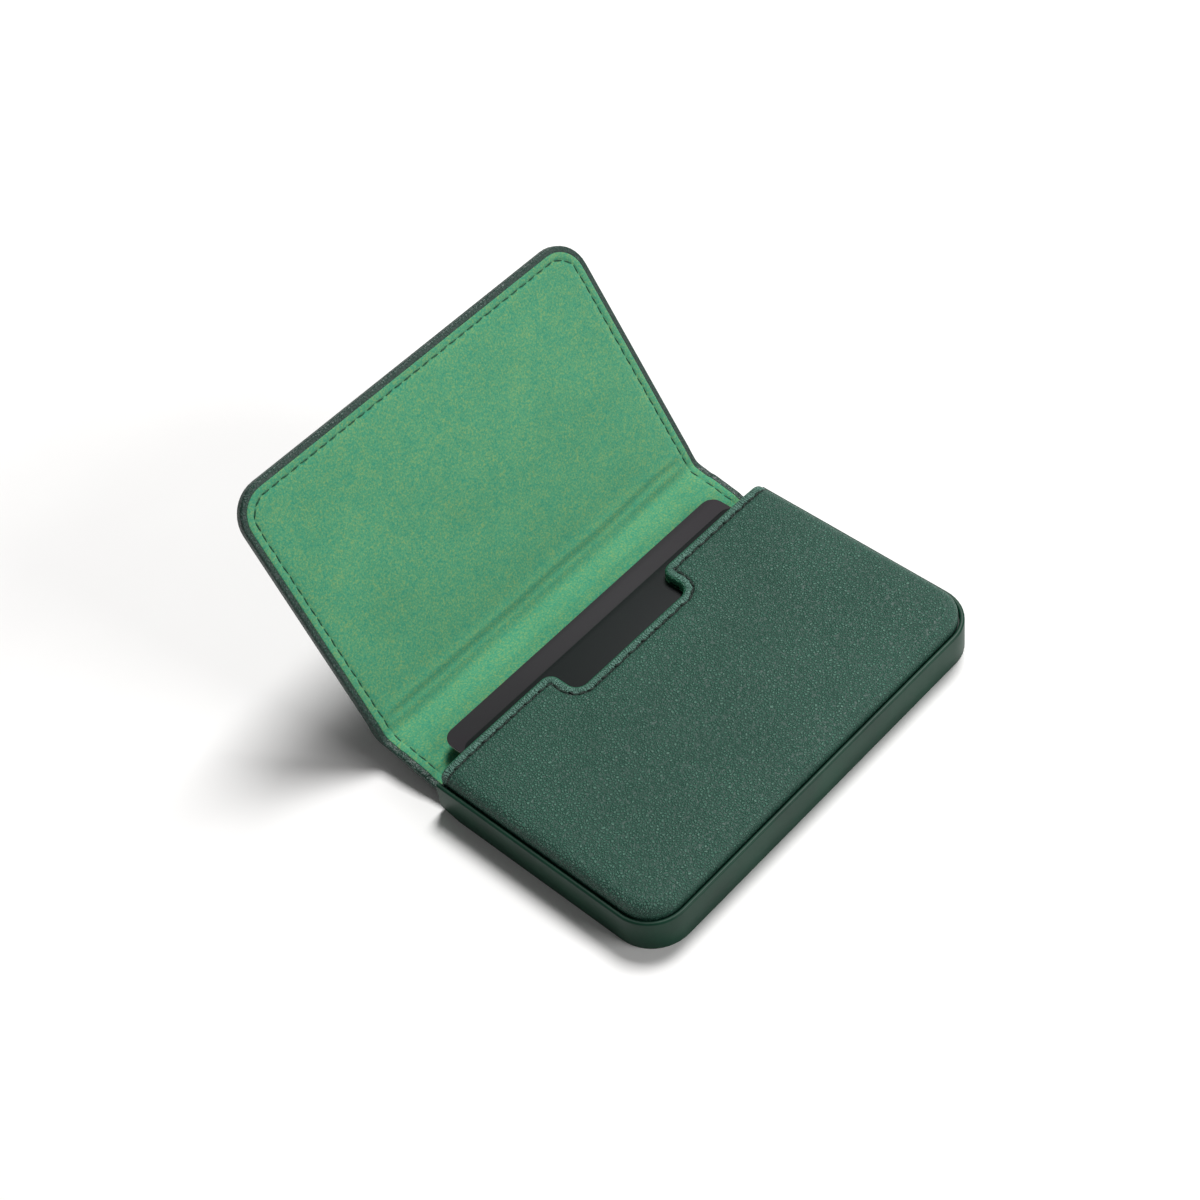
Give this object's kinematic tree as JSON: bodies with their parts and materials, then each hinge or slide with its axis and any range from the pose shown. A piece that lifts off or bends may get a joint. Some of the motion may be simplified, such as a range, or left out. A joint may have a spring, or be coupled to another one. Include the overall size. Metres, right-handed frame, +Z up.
{
  "type": "card holder",
  "caption": "Slim leather card case lying open: a rigid three-sided pocket with a thumb notch, two cards, and a folding magnetic flap on a soft spine.",
  "frame": {"origin": "centre of the back panel's underside, on the surface that the case lies on", "axes": "+Z up out of the front panel, +Y towards the mouth, the spine and the flap, +X to the right, along the folds"},
  "size_m": [0.104, 0.1114, 0.0587],
  "materials": {
    "smooth_leather": "smooth satin",
    "pebbled_leather": "fine pebble grain, satin",
    "flap_leather": "fine pebble grain, satin",
    "lining": "brushed microfibre",
    "board": "matte",
    "frame": "matte",
    "padding": "closed-cell foam",
    "thread": "bonded thread",
    "steel": "zinc plated",
    "magnet": "nickel plated",
    "charcoal_card": "matte",
    "black_card": "matte"
  },
  "bodies": {
    "case": {"back_leather": "smooth_leather", "back_board": "board", "back_lining": "lining", "side_frame": "frame", "side_band": "smooth_leather", "front_lining": "lining", "front_board": "board", "front_padding": "padding", "front_leather": "pebbled_leather", "closure_plates": "steel", "mouth_stitches": "thread", "hinge_leather": "flap_leather", "hinge_lining": "lining", "hinge_stitches": "thread"},
    "spine": {"spine_leather": "flap_leather", "spine_board": "board", "spine_lining": "lining", "spine_stitches": "thread"},
    "shoulder": {"shoulder_leather": "flap_leather", "shoulder_lining": "lining", "shoulder_stitches": "thread"},
    "flap": {"flap_leather": "flap_leather", "flap_board": "board", "flap_lining": "lining", "flap_magnets": "magnet", "flap_stitches": "thread"},
    "rear_card": {"rear_card": "charcoal_card"},
    "front_card": {"front_card": "black_card"}
  },
  "joints": [
    {"name": "spine_fold", "type": "hinge", "parent": "case", "child": "spine", "pos_m": [0, 0.03491, 0.00314], "axis": [1, 0, 0], "range_deg": [-12.5, 79.5]},
    {"name": "shoulder_fold", "type": "hinge", "parent": "spine", "child": "shoulder", "pos_m": [0, 0.04453, 0.00501], "axis": [1, 0, 0], "range_deg": [-12.5, 79.5]},
    {"name": "flap_crease", "type": "hinge", "parent": "shoulder", "child": "flap", "pos_m": [0, 0.04944, 0.00597], "axis": [1, 0, 0], "range_deg": [-37, 5.62]},
    {"name": "rear_card_slide", "type": "slide", "parent": "case", "child": "rear_card", "axis": [0, 1, 0], "range_m": [-0.0095, 0.00153]},
    {"name": "front_card_slide", "type": "slide", "parent": "case", "child": "front_card", "axis": [0, 1, 0], "range_m": [-0.004, 0.0012]}
  ],
  "couplings": [
    {"joint": "spine_fold", "follows": "flap_crease", "ratio": -2.1351},
    {"joint": "shoulder_fold", "follows": "flap_crease", "ratio": -2.1351},
    {"joint": "rear_card_slide", "follows": "flap_crease", "m_per_rad": 0.014556}
  ]
}
